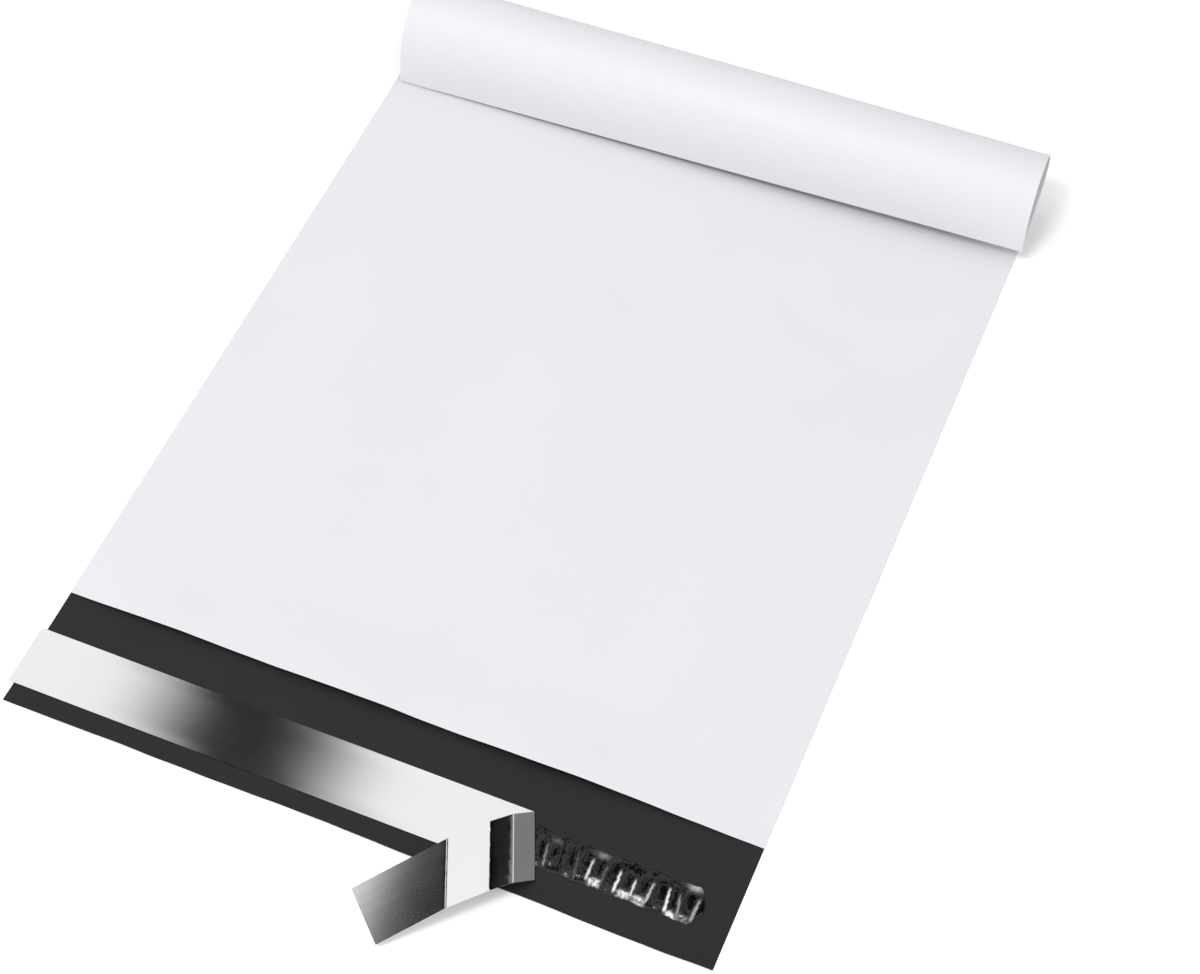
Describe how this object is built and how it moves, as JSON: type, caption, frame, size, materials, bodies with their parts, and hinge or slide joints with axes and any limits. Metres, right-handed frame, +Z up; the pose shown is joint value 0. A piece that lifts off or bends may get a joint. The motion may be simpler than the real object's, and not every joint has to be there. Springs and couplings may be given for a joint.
{
  "type": "poly mailer bag",
  "caption": "Flat white film mailer with an open dark flap, adhesive strip and part-peeled release liner, its bottom end curled over.",
  "frame": {"origin": "on the floor, under the middle of the stretch of the back panel that lies flat", "axes": "+X across the bag, +Y along the bag from the flap towards the bottom fold, +Z up"},
  "size_m": [0.258, 0.3819, 0.0301],
  "materials": {
    "white_film": "white polyethylene film, dark grey on its inner side, satin",
    "hot_melt": "black hot-melt adhesive, wet gloss",
    "silver_liner": "silver-white siliconised film, glossy"
  },
  "bodies": {
    "root": {"bag": "white_film", "adhesive_strip": "hot_melt", "release_liner": "silver_liner"}
  },
  "joints": []
}
